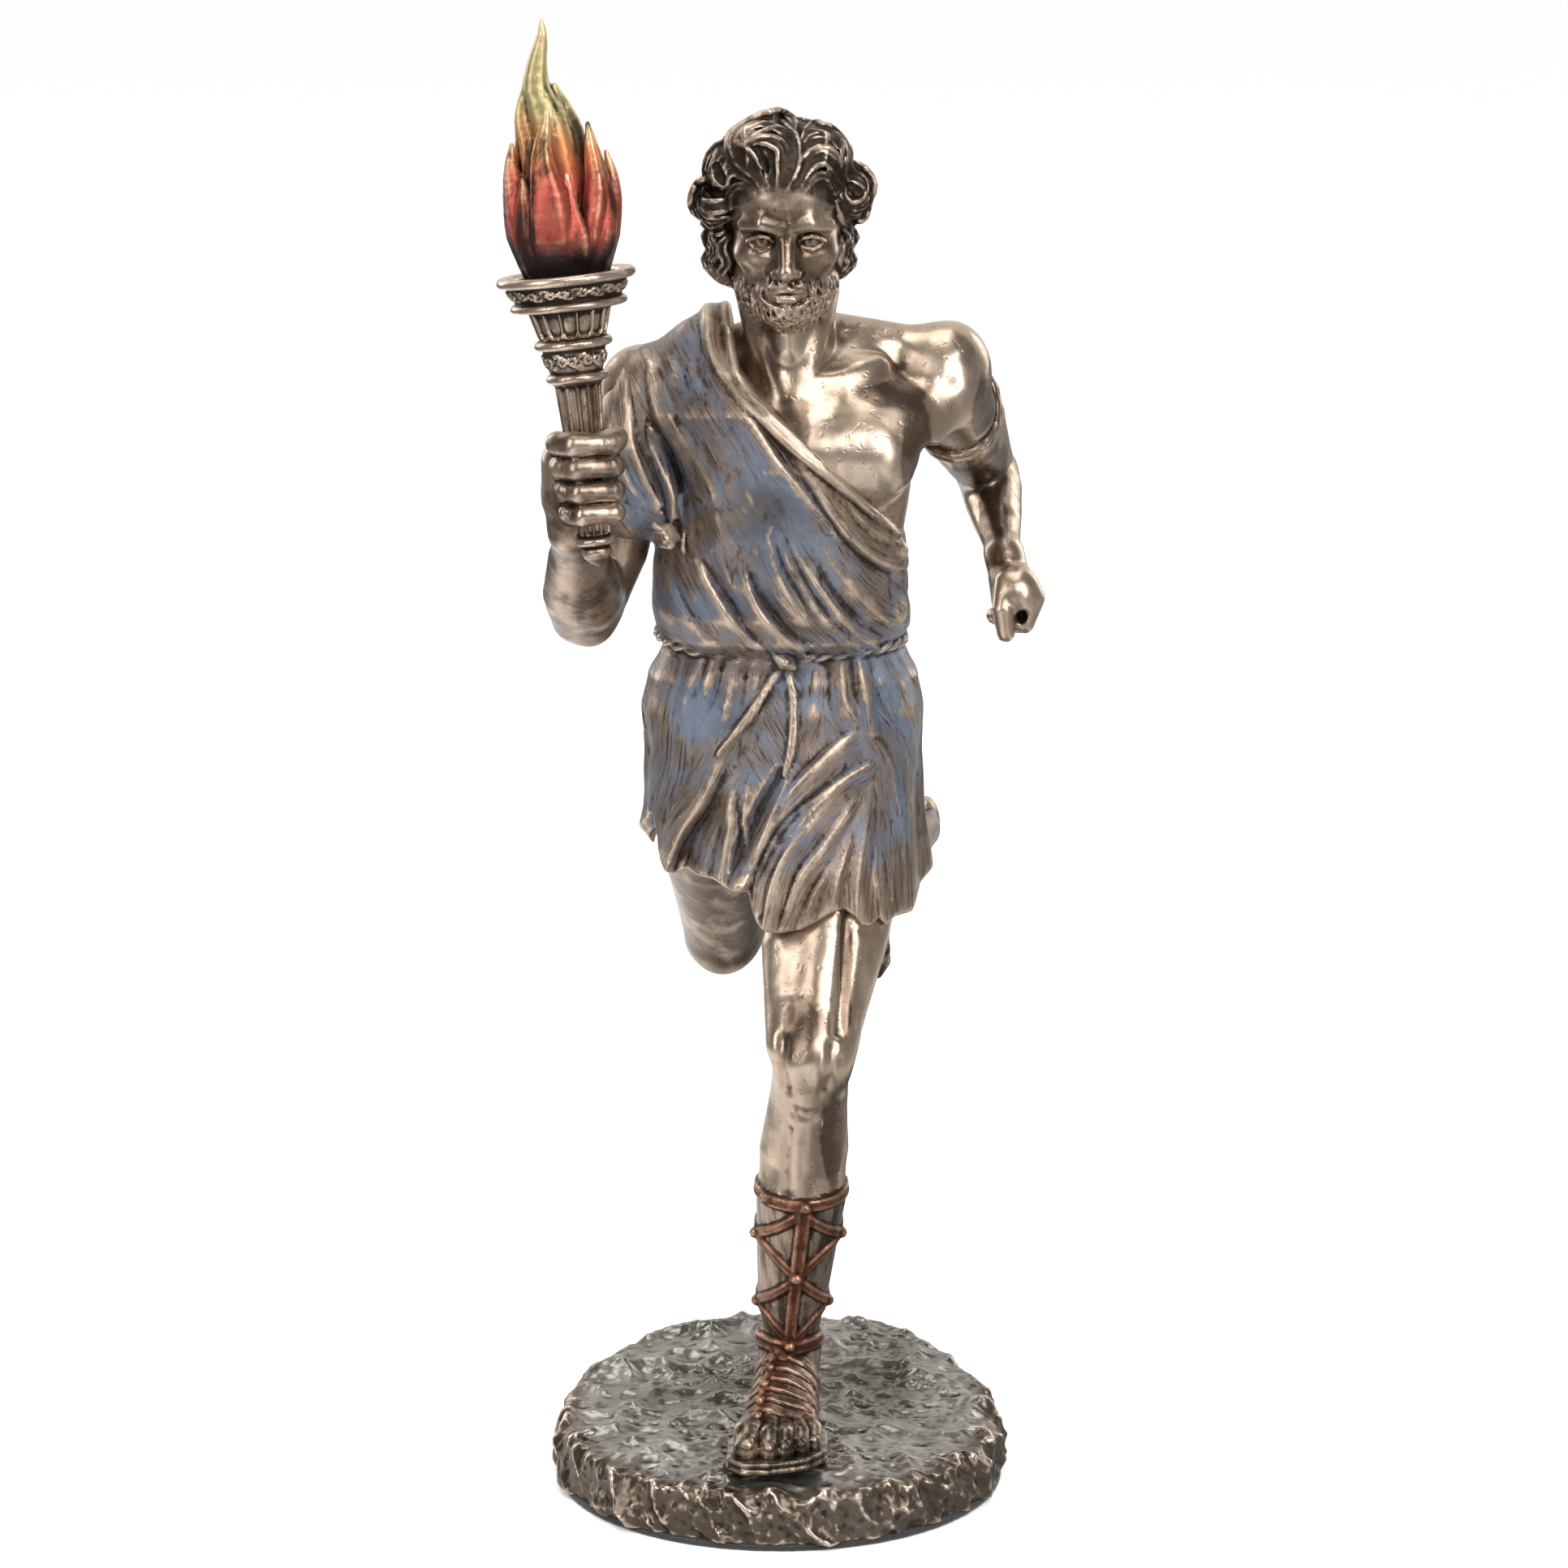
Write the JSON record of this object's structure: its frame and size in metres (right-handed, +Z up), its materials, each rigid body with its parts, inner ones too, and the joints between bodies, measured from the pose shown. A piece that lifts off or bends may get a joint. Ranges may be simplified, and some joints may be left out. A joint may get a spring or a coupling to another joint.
{
  "type": "running torchbearer statue",
  "caption": "Small bronze-finish statue of a running torchbearer in a belted one-shouldered tunic and laced sandals, standing on a disc of rough rock",
  "frame": {"origin": "centre of the underside of the base, on the surface the statue stands on", "axes": "+Z up; the figure faces and runs towards -Y; +X on the viewer's right when looking at its front"},
  "size_m": [0.1043, 0.1755, 0.2899],
  "materials": {
    "runner_bronze": "cold-cast resin, brown bronze finish with rubbed edges, blue-washed tunic, copper straps and a red to yellow flame",
    "rock_bronze": "cold-cast resin, dark bronze finish with gold-rubbed ridges",
    "felt": "thin black felt"
  },
  "bodies": {
    "root": {"runner": "runner_bronze", "rock_base": "rock_bronze", "felt_pad": "felt"}
  },
  "joints": []
}
